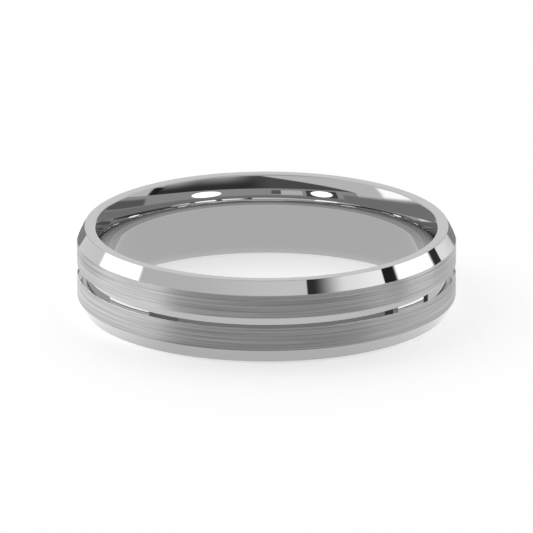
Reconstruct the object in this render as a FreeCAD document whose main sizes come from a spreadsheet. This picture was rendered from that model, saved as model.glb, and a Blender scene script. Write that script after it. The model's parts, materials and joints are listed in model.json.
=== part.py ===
# Wedding band, turned from one seamless blank.
#
# The band lies on its lower rim. The axis of the finger hole is +Z, and the
# origin is where that axis meets the surface that the band rests on.
# Lengths are in millimetres.
import FreeCAD, Part
import math
import os
import Sketcher

NODE = "band"
SHEET = "dimensions"

# Driving dimensions: alias, value, what it is.
DIMENSIONS = (
    ("band_width", 5.0, "length of the band along the finger"),
    ("outer_diameter", 22.6, "over the two lands"),
    ("bore_diameter", 19.1, "narrowest part of the finger hole, ISO 8653 size 60"),
    ("bore_straight", 1.2, "cylindrical stretch in the middle of the finger hole"),
    ("mouth_diameter", 20.5, "where the comfort curve would reach the rim's plane"),
    ("lip_radius", 0.2, "round between the comfort curve and the rim"),
    ("bevel_length", 0.8, "each bevel, along the finger"),
    ("bevel_depth", 0.46, "each bevel, towards the axis"),
    ("channel_width", 0.6, "channel between the two lands"),
    ("channel_depth", 0.35, "channel, below the lands"),
    ("rim_arris", 0.05, "eased edge between a rim and its bevel"),
    ("land_arris", 0.03, "eased edge between a bevel and its land"),
    ("channel_arris", 0.02, "eased edge between a land and the channel"),
    ("overcut", 0.5, "how far the channel's cutting section stands clear of the lands"),
)

ORIGIN = -1            # the sketch's own origin and X axis, in Sketcher's numbering
START, END = 1, 2      # the two ends of a sketched edge, in Sketcher's numbering
ACROSS = "DistanceX"   # a radius: a distance from the finger's axis
UP = "DistanceY"       # a height: a distance from the lower rim
FULL_TURN = 360.0      # degrees
NEAR = 1e-4            # a found edge is this close to the radius and height asked for


def make_sheet(doc):
    """The spreadsheet that drives the model, one named cell for each dimension."""
    sheet = doc.addObject("Spreadsheet::Sheet", SHEET)
    for row, (alias, value, meaning) in enumerate(DIMENSIONS, start=1):
        sheet.set(f"A{row}", alias)
        sheet.set(f"B{row}", str(value))
        sheet.set(f"C{row}", meaning)
        sheet.setAlias(f"B{row}", alias)
    doc.recompute()


def bound(formula):
    """Put the sheet's name before each alias in a formula."""
    aliases = [alias for alias, _, _ in DIMENSIONS]
    words = formula.split(" ")
    return " ".join(f"{SHEET}.{word}" if word in aliases else word for word in words)


def section_sketch(body, name):
    """An empty sketch on the plane XZ: its x is the radius and its y is the height."""
    sketch = body.newObject("Sketcher::SketchObject", name)
    plane = next(f for f in body.Origin.OriginFeatures if f.Role == "XZ_Plane")
    sketch.AttachmentSupport = [(plane, "")]
    sketch.MapMode = "FlatFace"
    return sketch


def add_line(sketch, x1, y1, x2, y2):
    ends = FreeCAD.Vector(x1, y1, 0), FreeCAD.Vector(x2, y2, 0)
    return sketch.addGeometry(Part.LineSegment(*ends))


def add_arc(sketch, x, y, radius, first_angle, last_angle):
    circle = Part.Circle(FreeCAD.Vector(x, y, 0), FreeCAD.Vector(0, 0, 1), radius)
    return sketch.addGeometry(Part.ArcOfCircle(circle, first_angle, last_angle))


def join(sketch, kind, *pairs):
    """Join the end of each pair's first edge to the start of its second."""
    for first, second in pairs:
        sketch.addConstraint(Sketcher.Constraint(kind, first, END, second, START))


def align(sketch, kind, *edges):
    for edge in edges:
        sketch.addConstraint(Sketcher.Constraint(kind, edge))


def place(sketch, edge, end, name, direction, value, formula):
    """Hold one end of an edge at the distance from the origin that the sheet gives."""
    constraint = Sketcher.Constraint(direction, ORIGIN, START, edge, end, value)
    sketch.renameConstraint(sketch.addConstraint(constraint), name)
    sketch.setExpression(f"Constraints.{name}", bound(formula))


def blank_section(body, size):
    """Section of the blank: a straight outside and a comfort-fit finger hole."""
    width, outer = size["band_width"], size["outer_diameter"] / 2
    bore, mouth = size["bore_diameter"] / 2, size["mouth_diameter"] / 2
    low, high = (width - size["bore_straight"]) / 2, (width + size["bore_straight"]) / 2
    flare = mouth - bore
    radius = (low ** 2 + flare ** 2) / (2 * flare)
    sweep = math.asin(low / radius)

    sketch = section_sketch(body, "blank_section")
    lower_rim = add_line(sketch, mouth, 0, outer, 0)
    outside = add_line(sketch, outer, 0, outer, width)
    upper_rim = add_line(sketch, outer, width, mouth, width)
    upper_curve = add_arc(sketch, bore + radius, high, radius, math.pi - sweep, math.pi)
    wall = add_line(sketch, bore, high, bore, low)
    lower_curve = add_arc(sketch, bore + radius, low, radius, math.pi, math.pi + sweep)

    join(sketch, "Coincident", (lower_rim, outside), (outside, upper_rim))
    join(sketch, "Coincident", (upper_rim, upper_curve), (lower_curve, lower_rim))
    join(sketch, "Tangent", (upper_curve, wall), (wall, lower_curve))
    align(sketch, "Horizontal", lower_rim, upper_rim)
    align(sketch, "Vertical", outside, wall)
    sketch.addConstraint(Sketcher.Constraint("PointOnObject", lower_rim, START, ORIGIN))

    place(sketch, outside, START, "outer_radius", ACROSS, outer, "outer_diameter / 2")
    place(sketch, upper_rim, START, "width", UP, width, "band_width")
    place(sketch, lower_rim, START, "lower_mouth", ACROSS, mouth, "mouth_diameter / 2")
    place(sketch, upper_rim, END, "upper_mouth", ACROSS, mouth, "mouth_diameter / 2")
    place(sketch, wall, START, "bore_radius", ACROSS, bore, "bore_diameter / 2")
    place(sketch, wall, START, "wall_top", UP, high, "( band_width + bore_straight ) / 2")
    place(sketch, wall, END, "wall_bottom", UP, low, "( band_width - bore_straight ) / 2")
    return sketch


def channel_section(body, size):
    """Section of the channel: a rectangle that is open to the outside."""
    width, outer = size["band_width"], size["outer_diameter"] / 2
    low, high = (width - size["channel_width"]) / 2, (width + size["channel_width"]) / 2
    inner, clear = outer - size["channel_depth"], outer + size["overcut"]

    sketch = section_sketch(body, "channel_section")
    lower_side = add_line(sketch, inner, low, clear, low)
    open_side = add_line(sketch, clear, low, clear, high)
    upper_side = add_line(sketch, clear, high, inner, high)
    floor = add_line(sketch, inner, high, inner, low)

    join(sketch, "Coincident", (lower_side, open_side), (open_side, upper_side))
    join(sketch, "Coincident", (upper_side, floor), (floor, lower_side))
    align(sketch, "Horizontal", lower_side, upper_side)
    align(sketch, "Vertical", open_side, floor)

    place(sketch, floor, START, "floor", ACROSS, inner, "outer_diameter / 2 - channel_depth")
    place(sketch, open_side, START, "clear", ACROSS, clear, "outer_diameter / 2 + overcut")
    place(sketch, floor, START, "top", UP, high, "( band_width + channel_width ) / 2")
    place(sketch, floor, END, "bottom", UP, low, "( band_width - channel_width ) / 2")
    return sketch


def turn(body, kind, name, sketch):
    """Turn a section once round the finger's axis, to make metal or to cut it."""
    feature = body.newObject(kind, name)
    feature.Profile = sketch
    feature.ReferenceAxis = (sketch, ["V_Axis"])
    feature.Angle = FULL_TURN
    body.Document.recompute()
    return feature


def circles(feature, radius, *heights):
    """Names of the round edges of this radius, one at each of these heights."""
    names = []
    for number, edge in enumerate(feature.Shape.Edges, start=1):
        curve = edge.Curve
        if not isinstance(curve, Part.Circle) or abs(curve.Radius - radius) > NEAR:
            continue
        if any(abs(curve.Center.z - height) < NEAR for height in heights):
            names.append(f"Edge{number}")
    if len(names) != len(heights):
        raise SystemExit(f"{feature.Name}: {len(names)} edges at radius {radius}, not {len(heights)}")
    return names


def bevel(body, name, base, edges, flip):
    """Cut back the corner between a rim and a land, further along the finger than inwards."""
    feature = body.newObject("PartDesign::Chamfer", name)
    feature.Base = (base, edges)
    feature.ChamferType = "Two distances"
    feature.FlipDirection = flip
    feature.setExpression("Size", bound("bevel_depth"))
    feature.setExpression("Size2", bound("bevel_length"))
    body.Document.recompute()
    return feature


def ease(body, name, base, edges, radius):
    """Round edges to a radius that the sheet gives."""
    feature = body.newObject("PartDesign::Fillet", name)
    feature.Base = (base, edges)
    feature.setExpression("Radius", bound(radius))
    body.Document.recompute()
    return feature


def make_band(doc, size):
    """The band: the blank, two bevels and the channel, then every edge eased."""
    width, outer = size["band_width"], size["outer_diameter"] / 2
    mouth, rim = size["mouth_diameter"] / 2, outer - size["bevel_depth"]
    land_low, land_high = size["bevel_length"], width - size["bevel_length"]
    side_low = (width - size["channel_width"]) / 2
    side_high = (width + size["channel_width"]) / 2

    body = doc.addObject("PartDesign::Body", NODE)
    body.Label = NODE
    blank = turn(body, "PartDesign::Revolution", "blank", blank_section(body, size))
    lower = bevel(body, "lower_bevel", blank, circles(blank, outer, 0), flip=False)
    upper = bevel(body, "upper_bevel", lower, circles(lower, outer, width), flip=True)
    channel = turn(body, "PartDesign::Groove", "channel", channel_section(body, size))
    lips = ease(body, "lips", channel, circles(channel, mouth, 0, width), "lip_radius")
    rims = ease(body, "rim_edges", lips, circles(lips, rim, 0, width), "rim_arris")
    lands = ease(body, "land_edges", rims, circles(rims, outer, land_low, land_high), "land_arris")
    sides = circles(lands, outer, side_low, side_high)
    edges = ease(body, "channel_edges", lands, sides, "channel_arris")
    body.Placement = FreeCAD.Placement()
    compare_volumes(blank, lower, upper, channel, lips, rims, lands, edges)
    return body


def compare_volumes(*steps):
    """Stop if a step that should cut metal away leaves the volume as it was."""
    for before, after in zip(steps, steps[1:]):
        removed = before.Shape.Volume - after.Shape.Volume
        print(f"{after.Name} removes {removed:.4f} mm3")
        if removed <= 0:
            raise SystemExit(f"{after.Name} cut nothing away")


def check(doc, nodes):
    """Stop if any object failed, or if a sub-part isn't one valid solid."""
    doc.recompute()
    for thing in doc.Objects:
        if {"Invalid", "Error"} & set(thing.State):
            raise SystemExit(f"{thing.Name}: {thing.State}")
    for node in nodes:
        if node.Shape.isNull() or not node.Shape.isValid() or len(node.Shape.Solids) != 1:
            raise SystemExit(f"{node.Label} isn't one valid solid")


def export(nodes):
    os.makedirs("parts", exist_ok=True)
    for node in nodes:
        node.Shape.exportStep(f"parts/{node.Label}.step")
        box = node.Shape.optimalBoundingBox()
        print(f"{node.Label}: {box.XLength:.4f} x {box.YLength:.4f} x {box.ZLength:.4f} mm, "
              f"lowest {box.ZMin:.5f} mm, {node.Shape.Volume:.3f} mm3")


def main():
    doc = FreeCAD.newDocument("wedding_band")
    make_sheet(doc)
    size = {alias: value for alias, value, _ in DIMENSIONS}
    nodes = [make_band(doc, size)]
    check(doc, nodes)
    export(nodes)


main()
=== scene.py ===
"""The look of a white-metal wedding band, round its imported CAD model.

The band lies on its lower rim. Its axis is +Z and the floor is z = 0, as in the
CAD model. Lengths are in metres.
"""

import json
import math

import bpy
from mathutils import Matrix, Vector


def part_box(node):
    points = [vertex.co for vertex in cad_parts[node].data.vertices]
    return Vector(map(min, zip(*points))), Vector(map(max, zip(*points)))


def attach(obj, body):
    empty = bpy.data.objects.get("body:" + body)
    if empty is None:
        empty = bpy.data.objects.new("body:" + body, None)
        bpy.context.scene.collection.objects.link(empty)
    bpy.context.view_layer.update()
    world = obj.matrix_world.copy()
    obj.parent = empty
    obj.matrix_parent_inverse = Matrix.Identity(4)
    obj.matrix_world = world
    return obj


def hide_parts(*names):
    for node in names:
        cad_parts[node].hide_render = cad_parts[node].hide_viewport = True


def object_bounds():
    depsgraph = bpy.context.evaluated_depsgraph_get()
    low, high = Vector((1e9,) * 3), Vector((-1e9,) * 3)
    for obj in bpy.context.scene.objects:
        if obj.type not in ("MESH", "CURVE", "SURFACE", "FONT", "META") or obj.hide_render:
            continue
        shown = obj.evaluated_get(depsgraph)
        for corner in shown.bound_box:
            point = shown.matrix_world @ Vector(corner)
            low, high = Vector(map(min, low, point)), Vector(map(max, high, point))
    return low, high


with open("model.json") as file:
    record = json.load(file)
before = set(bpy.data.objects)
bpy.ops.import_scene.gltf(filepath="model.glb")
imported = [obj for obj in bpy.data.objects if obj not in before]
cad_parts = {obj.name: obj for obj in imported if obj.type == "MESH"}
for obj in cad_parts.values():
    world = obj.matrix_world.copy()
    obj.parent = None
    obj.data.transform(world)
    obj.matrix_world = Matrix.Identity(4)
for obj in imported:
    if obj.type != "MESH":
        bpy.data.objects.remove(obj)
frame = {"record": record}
cad_low, cad_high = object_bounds()

MM = 0.001

# The band. The rest of its sizes come from the frame.
LIP_RADIUS = 0.20 * MM        # round between the comfort curve and the rim
MOUTH_FLARE = 0.70 * MM       # how far the comfort curve opens the hole by the rim
BEVEL_LENGTH = 0.80 * MM      # along the finger
BEVEL_DEPTH = 0.46 * MM       # towards the axis
CHANNEL_WIDTH = 0.60 * MM
CHANNEL_DEPTH = 0.35 * MM
RIM_ARRIS = 0.05 * MM         # eased edges
LAND_ARRIS = 0.03 * MM
CHANNEL_ARRIS = 0.02 * MM
SEGMENTS = 720                # flat faces round the band
ARC_STEPS = 6                 # faces across a small round
CURVE_STEPS = 24              # faces along the comfort curve

# The camera: a long lens, square on to the front and a little above it.
LENS = 800.0                  # millimetres, as Blender takes it
SENSOR = 36.0                 # millimetres
CAMERA_DISTANCE = 0.7067
CAMERA_REACH = 20.0           # how far the camera sees, past the floor's far side
CAMERA_ELEVATION = math.radians(17.69)
CAMERA_DROP = 0.075 * MM      # the band is a little above the middle of the picture

MIRROR_BOUNCES = 24           # the finger hole's wall sees itself many times over

# The two finishes. Roughness and grey vary between the two values given, with a noise.
POLISH_GREY = 0.62
POLISH_ROUGHNESS = (0.015, 0.05)
HAZE_SCALE = 900.0
HAZE_DETAIL = 4.0
SATIN_ROUGHNESS = (0.46, 0.60)
SATIN_GREYS = (0.28, 0.53)
SATIN_GREY_PLACES = (0.3, 0.7)            # where on the noise those two greys lie
BRUSH_SCALE = (120.0, 120.0, 14000.0)     # fine across the lines and long along them
BRUSH_DETAIL = 3.0
BRUSH_STRENGTH = 0.4
BRUSH_HEIGHT = 0.02 * MM
BRUSH_STRETCH = 0.50                      # of the highlights, across the lines
QUARTER_TURN = 0.25                       # the shader's tangent runs round the band

FLOOR_HALF = 6.0
FLOOR_ALBEDO = 0.95
FLOOR_GLOW = 0.47
BACKDROP = 1.2                # what the camera sees past the floor: plain white

# Painted shade and light on the floor, shown only in the metal's reflections: a darker level inside
# the band, and levels that change with the angle round it near the band and further off.
# The steps give the angle round the band, the width of each change and the new level,
# from behind on the left round to behind on the right.
HOLE_PAINTED_SHADE = 0.63
HOLE_EDGE = 10.5 * MM
HOLE_FADE = 1.0 * MM          # each side of the edge
NEAR_START = 0.90
NEAR_STEPS = (
    (-130.0, 60.0, 1.15),
    (-68.0,  50.0, 0.95),
    (-42.0,  30.0, 0.67),
    (40.0,   40.0, 0.83),
    (66.0,   40.0, 1.03),
    (130.0,  60.0, 0.90),
)
NEAR_EDGE = 15.0 * MM
NEAR_FADE = 2.0 * MM
FAR_START = 1.05
FAR_STEPS = (
    (-135.0, 60.0, 1.20),
    (-85.0,  50.0, 0.95),
    (-50.0,  40.0, 0.78),
    (100.0,  80.0, 0.88),
)

# The studio, by direction from the band. Azimuth 0 is -Y, the camera's side, and
# grows towards +X; angles are in degrees. Each shape has a left, a right, a lower
# and an upper edge, and each edge has a place and the width that it fades over. The
# upper edge rises by the slope, in degrees for each degree of azimuth. Later shapes
# lie over earlier ones.
STUDIO_WALL = 0.72
STUDIO = (
    # name             left         right        low          high       slope  level
    ("rear_left",      (-181, 1),   (-122, 8),   (-5, 1),     (95, 1),    0.0,  0.82),
    ("rear_right",     (131, 8),    (181, 1),    (-5, 1),     (95, 1),    0.0,  0.82),
    ("ceiling",        (-181, 1),   (181, 1),    (68, 12),    (95, 1),    0.0,  0.50),
    ("window",         (-68, 2),    (87, 2),     (28.6, 1),   (57.5, 2),  0.42, 0.105),
    ("window_low",     (5, 20),     (87, 2),     (28.6, 1),   (50, 24),   0.0,  0.045),
    ("veil",           (26, 36),    (96, 1),     (54, 36),    (95, 1),    0.0,  0.72),
    ("veil_right",     (70, 30),    (96, 1),     (44, 22),    (95, 1),    0.0,  0.72),
    ("flag_right",     (86, 4),     (96, 4),     (28.6, 1),   (41, 3),    0.0,  0.02),
    ("softbox_left",   (-122, 2),   (-93, 6),    (25, 5),     (40, 4),    0.0,  1.55),
    ("low_wall",       (-69, 1),    (156, 8),    (-5, 1),     (28.6, 1),  0.0,  0.38),
    ("low_wall_left",  (-156, 8),   (-57, 2),    (-5, 1),     (22, 6),    0.0,  0.24),
    ("low_shade",      (-57, 2),    (156, 8),    (-5, 1),     (13, 3),    0.0,  0.24),
    ("low_dark",       (96, 4),     (150, 30),   (14, 2),     (24, 4),    0.0,  0.14),
)

# Small curved cards, hung round the band where one part of it sees them. Angles are
# about the band's axis, in degrees, 0 in front. Heights are in millimetres at the
# card's middle, and the tilt is its rise in millimetres for each degree.
CARD_SIDES = 48               # straight edges round each card
CARDS = (
    # name          radius    angles          heights       tilt     round  level
    ("flank_left",  31 * MM,  (-60, -33),     (13.0, 24.0), 0.0,     False, 0.08),
    ("lamp_left",   30 * MM,  (-56, -37),     (13.2, 23.2), 0.0,     True,  2.20),
    ("lamp_right",  30 * MM,  (38, 64),       (13.2, 23.0), 0.0,     True,  2.20),
    ("panel",       30 * MM,  (-30, -12),     (14.3, 22.5), 0.0,     False, 0.66),
    ("streak",      30 * MM,  (-12, -4),      (15.5, 22.5), 0.0,     False, 0.14),
    ("low_far",     14 * MM,  (-112, -74.5),  (2.6, 4.2),   0.0,     False, 0.65),
    ("low_left",    14 * MM,  (-74.5, -49),   (2.6, 3.48),  -0.0133, False, 2.20),
    ("haze_left",   14 * MM,  (-74.5, -49),   (3.54, 4.3),  -0.0133, False, 0.90),
    ("dark_front",  14 * MM,  (49.5, 54),     (2.6, 4.2),   0.0,     False, 0.08),
    ("low_right",   14 * MM,  (57, 75),       (2.6, 3.55),  0.0141,  False, 2.20),
    ("haze_right",  14 * MM,  (57, 75),       (3.61, 4.3),  0.0141,  False, 0.90),
    ("dark_rear",   14 * MM,  (75, 79),       (2.6, 4.2),   0.0,     False, 0.08),
    ("low_rear",    14 * MM,  (79, 112),      (2.6, 4.2),   0.0,     False, 1.10),
    ("side_left",   16 * MM,  (-135, -40),    (1.0, 3.8),   0.0,     False, 2.65),
    ("side_right",  16 * MM,  (42, 135),      (1.0, 3.8),   0.0,     False, 1.45),
)

# A strip of card that stands round the front and sides of the band, close to it. It
# is what the upper bevel reflects, and little of it shows in the finger hole. Its two
# edges lie in planes that slope down towards the back. STRIP_STEPS says where along it
# the light changes, over how many degrees, and to what level.
STRIP_RADIUS = 12.2 * MM
STRIP_MIDDLE = 4.72 * MM      # height of its middle line at the sides
STRIP_RISE = 0.90 * MM        # how much higher it is in front
STRIP_HALF = 0.75 * MM        # half of its own height
STRIP_LEAN = 0.042 / MM       # how much further round the changes lie towards its top edge
STRIP_ENDS = (-118.0, 118.0)
STRIP_PIECES = 120            # flat faces along it
STRIP_START = 0.28
STRIP_STEPS = (
    # angle  width  level
    (-93.0,  1.5,   0.86),
    (-69.2,  2.0,   1.80),
    (-47.2,  1.6,   0.69),
    (-10.0,  40.0,  0.84),
    (13.9,   0.6,   0.04),
    (22.5,   13.0,  1.13),
    (35.0,   14.0,  1.32),
    (43.0,   0.6,   0.022),
    (49.0,   2.0,   1.80),
    (69.4,   2.5,   0.04),
    (75.5,   0.6,   1.10),
    (86.0,   14.0,  0.86),
    (94.0,   4.0,   0.28),
)


def line(finish, start, end):
    """A straight stretch of the outline: (r, z, normal r, normal z) at its two ends."""
    along = (Vector(end) - Vector(start)).normalized()
    normal = (along.y, -along.x)
    return finish, [(*start, *normal), (*end, *normal)]


def arc(finish, centre, radius, first, last, steps):
    """A round stretch of the outline, from one angle to another, in radians."""
    points = []
    for step in range(steps + 1):
        angle = first + (last - first) * step / steps
        normal = math.cos(angle), math.sin(angle)
        points.append((centre[0] + radius * normal[0], centre[1] + radius * normal[1], *normal))
    return finish, points


def rounded_corner(before, corner, after, radius):
    """Centre of the round that eases a corner, and the angles where it starts and ends."""
    into = (Vector(corner) - Vector(before)).normalized()
    out = (Vector(after) - Vector(corner)).normalized()
    turn = into.angle(out)
    start = Vector(corner) - into * radius * math.tan(turn / 2)
    first = math.atan2(-into.x, into.y)
    centre = start - Vector((math.cos(first), math.sin(first))) * radius
    return centre, first, first + turn


def lower_half(size):
    """The outline from the middle of the finger hole, round the lower rim, to the channel."""
    bore, outer, mid, low = size["bore"], size["outer"], size["mid"], size["low"]
    curve = (low ** 2 + MOUTH_FLARE ** 2) / (2 * MOUTH_FLARE)
    curve_centre = bore + curve, low
    lip_x = bore + curve - math.sqrt((curve - LIP_RADIUS) ** 2 - (low - LIP_RADIUS) ** 2)
    touch = math.pi + math.atan2(low - LIP_RADIUS, bore + curve - lip_x)

    stretches = [
        line("polished", (bore, mid), (bore, low)),
        arc("polished", curve_centre, curve, math.pi, touch, CURVE_STEPS),
        arc("polished", (lip_x, LIP_RADIUS), LIP_RADIUS, touch, 1.5 * math.pi, ARC_STEPS),
    ]
    side = mid - CHANNEL_WIDTH / 2
    floor = outer - CHANNEL_DEPTH
    corners = (
        ((outer - BEVEL_DEPTH, 0), RIM_ARRIS, "polished"),
        ((outer, BEVEL_LENGTH), LAND_ARRIS, "satin"),
        ((outer, side), CHANNEL_ARRIS, "polished"),
    )
    ends = [(lip_x, 0), *(corner for corner, _, _ in corners), (floor, side)]
    start, finish = ends[0], "polished"
    for number, (corner, radius, next_finish) in enumerate(corners):
        centre, first, last = rounded_corner(ends[number], corner, ends[number + 2], radius)
        bend = arc("polished", centre, radius, first, last, ARC_STEPS)
        stretches.append(line(finish, start, bend[1][0][:2]))
        stretches.append(bend)
        start, finish = bend[1][-1][:2], next_finish
    stretches.append(line(finish, start, (floor, side)))
    stretches.append(line("polished", (floor, side), (floor, mid)))
    return stretches


def mirrored(stretches, width):
    """The other half of the outline, in the order that carries on round it."""
    other = []
    for finish, points in reversed(stretches):
        other.append((finish, [(r, width - z, nr, -nz) for r, z, nr, nz in reversed(points)]))
    return other


def band_mesh(stretches, finishes):
    """Turn the closed outline once round the axis, with the exact normal at each corner."""
    strips = []
    for finish, points in stretches:
        strips += [(finish, *pair) for pair in zip(points, points[1:])]
    count = len(strips)
    turns = [2 * math.pi * step / SEGMENTS for step in range(SEGMENTS)]
    around = [(math.cos(turn), math.sin(turn)) for turn in turns]
    vertices, faces, normals, slots = [], [], [], []
    for c, s in around:
        vertices += [(p[0] * c, p[0] * s, p[1]) for _, p, _ in strips]
    for here in range(SEGMENTS):
        there = (here + 1) % SEGMENTS
        for number, (finish, p, q) in enumerate(strips):
            after = (number + 1) % count
            corners = ((here, number, p), (there, number, p), (there, after, q), (here, after, q))
            faces.append([place * count + point for place, point, _ in corners])
            for place, _, (_, _, nr, nz) in corners:
                c, s = around[place]
                normals.append((nr * c, nr * s, nz))
            slots.append(finishes.index(finish))
    mesh = bpy.data.meshes.new("band_finish")
    mesh.from_pydata(vertices, [], faces)
    mesh.polygons.foreach_set("material_index", slots)
    mesh.polygons.foreach_set("use_smooth", [True] * len(faces))
    mesh.normals_split_custom_set(normals)
    mesh.update()
    return mesh


def grey(value):
    return value, value, value, 1.0


class Nodes:
    """A node tree, with short calls to add a node and to link its inputs."""

    def __init__(self, tree):
        self.tree = tree
        tree.nodes.clear()

    def add(self, kind, settings=(), **inputs):
        """Inputs go by name, with _ for a space, or by number, as i0, i1 and so on."""
        node = self.tree.nodes.new(kind)
        for name, value in dict(settings).items():
            setattr(node, name, value)
        for name, value in inputs.items():
            by_number = name[0] == "i" and name[1:].isdigit()
            self.feed(node.inputs[int(name[1:]) if by_number else name.replace("_", " ")], value)
        return node

    def feed(self, socket, value):
        if isinstance(value, bpy.types.NodeSocket):
            self.tree.links.new(value, socket)
        else:
            socket.default_value = value

    def math(self, operation, *values):
        node = self.tree.nodes.new("ShaderNodeMath")
        node.operation = operation
        for socket, value in zip(node.inputs, values):
            self.feed(socket, value)
        return node.outputs[0]

    def step(self, value, start, end):
        """0 before start and 1 after end, or the other way round if start is the greater."""
        node = self.tree.nodes.new("ShaderNodeMapRange")
        node.interpolation_type = "SMOOTHSTEP"
        self.feed(node.inputs["Value"], value)
        self.feed(node.inputs["From Min"], start)
        self.feed(node.inputs["From Max"], end)
        return node.outputs[0]

    def mix(self, factor, first, second):
        """A blend of two numbers."""
        node = self.tree.nodes.new("ShaderNodeMix")
        self.feed(node.inputs[0], factor)
        self.feed(node.inputs[2], first)
        self.feed(node.inputs[3], second)
        return node.outputs[0]

    def angle_round(self, place):
        """Angle round the band's axis, in degrees, 0 in front."""
        x, y, _ = self.add("ShaderNodeSeparateXYZ", i0=place).outputs
        return self.math("DEGREES", self.math("ARCTAN2", x, self.math("MULTIPLY", y, -1.0)))

    def steps(self, angle, level, steps):
        """A level that changes with the angle: each step has its place, width and new level."""
        for at, width, brightness in steps:
            level = self.mix(self.step(angle, at - width / 2, at + width / 2), level, brightness)
        return level


def direction_angles(nodes):
    """Azimuth and elevation of a direction of the studio, in degrees."""
    coordinates = nodes.add("ShaderNodeTexCoord")
    split = nodes.add("ShaderNodeSeparateXYZ", i0=coordinates.outputs["Generated"])
    x, y, z = split.outputs
    azimuth = nodes.math("ARCTAN2", x, nodes.math("MULTIPLY", y, -1.0))
    elevation = nodes.math("ARCSINE", z)
    return nodes.math("DEGREES", azimuth), nodes.math("DEGREES", elevation)


def make_studio():
    """The world: the studio as the metal and the floor see it, and plain white behind."""
    world = bpy.data.worlds.new("studio")
    world.use_nodes = True
    nodes = Nodes(world.node_tree)
    azimuth, elevation = direction_angles(nodes)
    level = STUDIO_WALL
    for _, left, right, low, high, slope, brightness in STUDIO:
        height = nodes.math("SUBTRACT", elevation, nodes.math("MULTIPLY", azimuth, slope))
        masks = (
            nodes.step(azimuth, left[0] - left[1] / 2, left[0] + left[1] / 2),
            nodes.step(azimuth, right[0] + right[1] / 2, right[0] - right[1] / 2),
            nodes.step(elevation, low[0] - low[1] / 2, low[0] + low[1] / 2),
            nodes.step(height, high[0] + high[1] / 2, high[0] - high[1] / 2),
        )
        mask = masks[0]
        for other in masks[1:]:
            mask = nodes.math("MULTIPLY", mask, other)
        level = nodes.mix(mask, level, brightness)
    light = nodes.add("ShaderNodeBackground", Color=grey(1.0), Strength=level)
    white = nodes.add("ShaderNodeBackground", Color=grey(1.0), Strength=BACKDROP)
    path = nodes.add("ShaderNodeLightPath")
    both = nodes.add("ShaderNodeMixShader", i0=path.outputs["Is Camera Ray"],
                     i1=light.outputs[0], i2=white.outputs[0])
    nodes.add("ShaderNodeOutputWorld", Surface=both.outputs[0])
    bpy.context.scene.world = world


def sheet(name, vertices, faces):
    """A sheet that isn't part of the object."""
    mesh = bpy.data.meshes.new(name)
    mesh.from_pydata(vertices, [], faces)
    made = bpy.data.objects.new(name, mesh)
    bpy.context.collection.objects.link(made)
    return made


def make_floor():
    """A pale sheet that glows a little; the metal's reflections of it show painted shade inside the
    band and painted light and shade round it.
    """
    half = FLOOR_HALF
    corners = [(-half, -half, 0), (half, -half, 0), (half, half, 0), (-half, half, 0)]
    floor = sheet("floor", corners, [(0, 1, 2, 3)])
    material = bpy.data.materials.new("floor_sheet")
    material.use_nodes = True
    nodes = Nodes(material.node_tree)
    diffuse = nodes.add("ShaderNodeBsdfDiffuse", Color=grey(FLOOR_ALBEDO))
    glow = nodes.add("ShaderNodeEmission", Strength=FLOOR_GLOW)
    both = nodes.add("ShaderNodeAddShader", i0=diffuse.outputs[0], i1=glow.outputs[0])
    place = nodes.add("ShaderNodeTexCoord").outputs["Object"]
    angle = nodes.angle_round(place)
    near = nodes.steps(angle, NEAR_START, NEAR_STEPS)
    far = nodes.steps(angle, FAR_START, FAR_STEPS)
    distance = nodes.add("ShaderNodeVectorMath", {"operation": "LENGTH"}, i0=place).outputs["Value"]
    outside = nodes.step(distance, HOLE_EDGE - HOLE_FADE, HOLE_EDGE + HOLE_FADE)
    further = nodes.step(distance, NEAR_EDGE - NEAR_FADE, NEAR_EDGE + NEAR_FADE)
    level = nodes.mix(further, nodes.mix(outside, HOLE_PAINTED_SHADE, near), far)
    # Painted shade inside the band and painted light and shade round it, for reflections only.
    painted_light_and_shade = nodes.add("ShaderNodeEmission", Color=grey(1.0), Strength=level)
    path = nodes.add("ShaderNodeLightPath")
    seen = nodes.add("ShaderNodeMixShader", i0=path.outputs["Is Glossy Ray"],
                     i1=both.outputs[0], i2=painted_light_and_shade.outputs[0])
    nodes.add("ShaderNodeOutputMaterial", Surface=seen.outputs[0])
    floor.data.materials.append(material)


def hang(card, name):
    """Let a card show in reflections only, and return its emptied material."""
    card.visible_camera = False
    card.visible_diffuse = False
    card.visible_shadow = False
    material = bpy.data.materials.new(name)
    material.use_nodes = True
    card.data.materials.append(material)
    return Nodes(material.node_tree)


def curve_point(radius, angle, height):
    """A point at this angle round the band's axis, 0 in front."""
    turn = math.radians(angle)
    return radius * math.sin(turn), -radius * math.cos(turn), height


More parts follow.
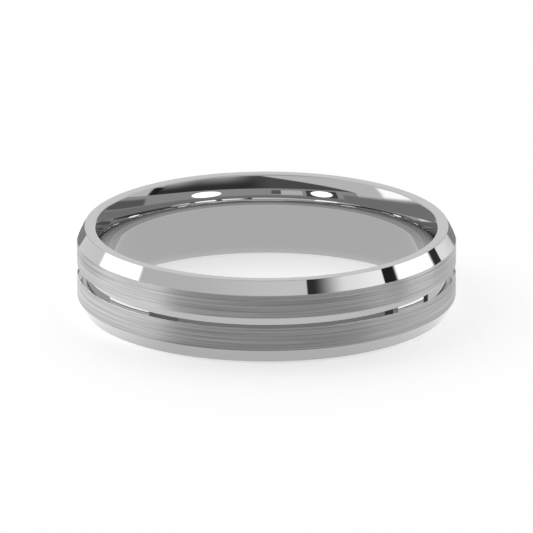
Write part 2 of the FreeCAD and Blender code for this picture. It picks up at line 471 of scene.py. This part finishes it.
def make_strip():
    """The strip of card round the band, lit along its length."""
    first, last = STRIP_ENDS
    vertices = []
    for step in range(STRIP_PIECES + 1):
        angle = first + (last - first) * step / STRIP_PIECES
        middle = STRIP_MIDDLE + STRIP_RISE * math.cos(math.radians(angle))
        vertices.append(curve_point(STRIP_RADIUS, angle, middle - STRIP_HALF))
        vertices.append(curve_point(STRIP_RADIUS, angle, middle + STRIP_HALF))
    faces = [(2 * n, 2 * n + 2, 2 * n + 3, 2 * n + 1) for n in range(STRIP_PIECES)]
    nodes = hang(sheet("light_strip", vertices, faces), "strip_light")
    place = nodes.add("ShaderNodeTexCoord").outputs["Object"]
    _, y, z = nodes.add("ShaderNodeSeparateXYZ", i0=place).outputs
    slope = nodes.math("MULTIPLY", y, STRIP_RISE / STRIP_RADIUS)
    above = nodes.math("SUBTRACT", nodes.math("ADD", z, slope), STRIP_MIDDLE)
    lean = nodes.math("SUBTRACT", 1.0, nodes.math("MULTIPLY", above, STRIP_LEAN))
    angle = nodes.math("MULTIPLY", nodes.angle_round(place), lean)
    level = nodes.steps(angle, STRIP_START, STRIP_STEPS)
    glow = nodes.add("ShaderNodeEmission", Color=grey(1.0), Strength=level)
    nodes.add("ShaderNodeOutputMaterial", Surface=glow.outputs[0])


def make_cards():
    """The small cards: curved rectangles, or curved ovals for the lamps."""
    for name, radius, angles, heights, tilt, is_round, brightness in CARDS:
        middle = sum(angles) / 2, sum(heights) / 2 * MM
        half = (angles[1] - angles[0]) / 2, (heights[1] - heights[0]) / 2 * MM
        outline = []
        for step in range(CARD_SIDES):
            turn = 2 * math.pi * step / CARD_SIDES
            across, up = math.cos(turn), math.sin(turn)
            if not is_round:
                reach = max(abs(across), abs(up))
                across, up = across / reach, up / reach
            height = middle[1] + up * half[1] + across * half[0] * tilt * MM
            outline.append(curve_point(radius, middle[0] + across * half[0], height))
        centre = curve_point(radius, *middle)
        faces = [(n, (n + 1) % CARD_SIDES, CARD_SIDES) for n in range(CARD_SIDES)]
        nodes = hang(sheet(name, [*outline, centre], faces), name + "_light")
        glow = nodes.add("ShaderNodeEmission", Color=grey(1.0), Strength=brightness)
        nodes.add("ShaderNodeOutputMaterial", Surface=glow.outputs[0])


def make_camera():
    data = bpy.data.cameras.new("camera")
    data.lens = LENS
    data.sensor_width = SENSOR
    data.clip_end = CAMERA_REACH
    camera = bpy.data.objects.new("camera", data)
    bpy.context.collection.objects.link(camera)
    centre = (cad_low + cad_high) / 2
    back = Vector((0, -math.cos(CAMERA_ELEVATION), math.sin(CAMERA_ELEVATION)))
    up = Vector((0, math.sin(CAMERA_ELEVATION), math.cos(CAMERA_ELEVATION)))
    camera.location = centre + back * CAMERA_DISTANCE - up * CAMERA_DROP
    camera.rotation_mode = "QUATERNION"
    camera.rotation_quaternion = (-back).to_track_quat("-Z", "Y")
    bpy.context.scene.camera = camera


def polished_metal():
    """A mirror with the faintest haze."""
    material = bpy.data.materials.new("polished_white_gold")
    material.use_nodes = True
    nodes = Nodes(material.node_tree)
    place = nodes.add("ShaderNodeTexCoord").outputs["Object"]
    haze = nodes.add("ShaderNodeTexNoise", Vector=place, Scale=HAZE_SCALE, Detail=HAZE_DETAIL)
    least, most = POLISH_ROUGHNESS
    rough = nodes.add("ShaderNodeMapRange", i0=haze.outputs[0], i3=least, i4=most)
    shader = nodes.add("ShaderNodeBsdfPrincipled", Base_Color=grey(POLISH_GREY), Metallic=1.0,
                       Roughness=rough.outputs[0])
    nodes.add("ShaderNodeOutputMaterial", Surface=shader.outputs[0])
    return material


def satin_metal():
    """Brushed round the band: fine lines that follow the circumference."""
    material = bpy.data.materials.new("satin_white_gold")
    material.use_nodes = True
    nodes = Nodes(material.node_tree)
    place = nodes.add("ShaderNodeTexCoord").outputs["Object"]
    stretch = nodes.add("ShaderNodeMapping", Vector=place, Scale=BRUSH_SCALE)
    lines = nodes.add("ShaderNodeTexNoise", Vector=stretch.outputs[0], Scale=1.0,
                      Detail=BRUSH_DETAIL)
    least, most = SATIN_ROUGHNESS
    rough = nodes.add("ShaderNodeMapRange", i0=lines.outputs[0], i3=least, i4=most)
    tone = nodes.add("ShaderNodeValToRGB", i0=lines.outputs[0])
    for element, position, value in zip(tone.color_ramp.elements, SATIN_GREY_PLACES, SATIN_GREYS):
        element.position = position
        element.color = grey(value)
    bump = nodes.add("ShaderNodeBump", Strength=BRUSH_STRENGTH, Distance=BRUSH_HEIGHT,
                     Height=lines.outputs[0])
    tangent = nodes.add("ShaderNodeTangent", {"direction_type": "RADIAL", "axis": "Z"})
    shader = nodes.add("ShaderNodeBsdfPrincipled", Base_Color=tone.outputs[0], Metallic=1.0,
                       Roughness=rough.outputs[0], Anisotropic=BRUSH_STRETCH,
                       Anisotropic_Rotation=QUARTER_TURN, Normal=bump.outputs[0],
                       Tangent=tangent.outputs[0])
    nodes.add("ShaderNodeOutputMaterial", Surface=shader.outputs[0])
    return material


def make_band():
    """The whole band as one piece, in place of the CAD solid."""
    low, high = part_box("band")
    width = high.z - low.z
    bore = next(m for m in frame["record"]["mounts"] if m["name"] == "finger_bore")["dims"]
    straight = bore["length_mm"] * MM
    size = {"outer": (high.x - low.x) / 2, "bore": bore["r_mm"] * MM,
            "mid": width / 2, "low": (width - straight) / 2}
    finishes = {"polished": polished_metal(), "satin": satin_metal()}
    lower = lower_half(size)
    mesh = band_mesh(lower + mirrored(lower, width), list(finishes))
    for material in finishes.values():
        mesh.materials.append(material)
    band = bpy.data.objects.new("band_finish", mesh)
    bpy.context.collection.objects.link(band)
    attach(band, "root")
    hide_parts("band")


make_camera()
make_studio()
make_floor()
make_strip()
make_cards()
make_band()
bpy.context.scene.view_settings.view_transform = "Standard"
bpy.context.scene.cycles.max_bounces = MIRROR_BOUNCES
bpy.context.scene.cycles.glossy_bounces = MIRROR_BOUNCES
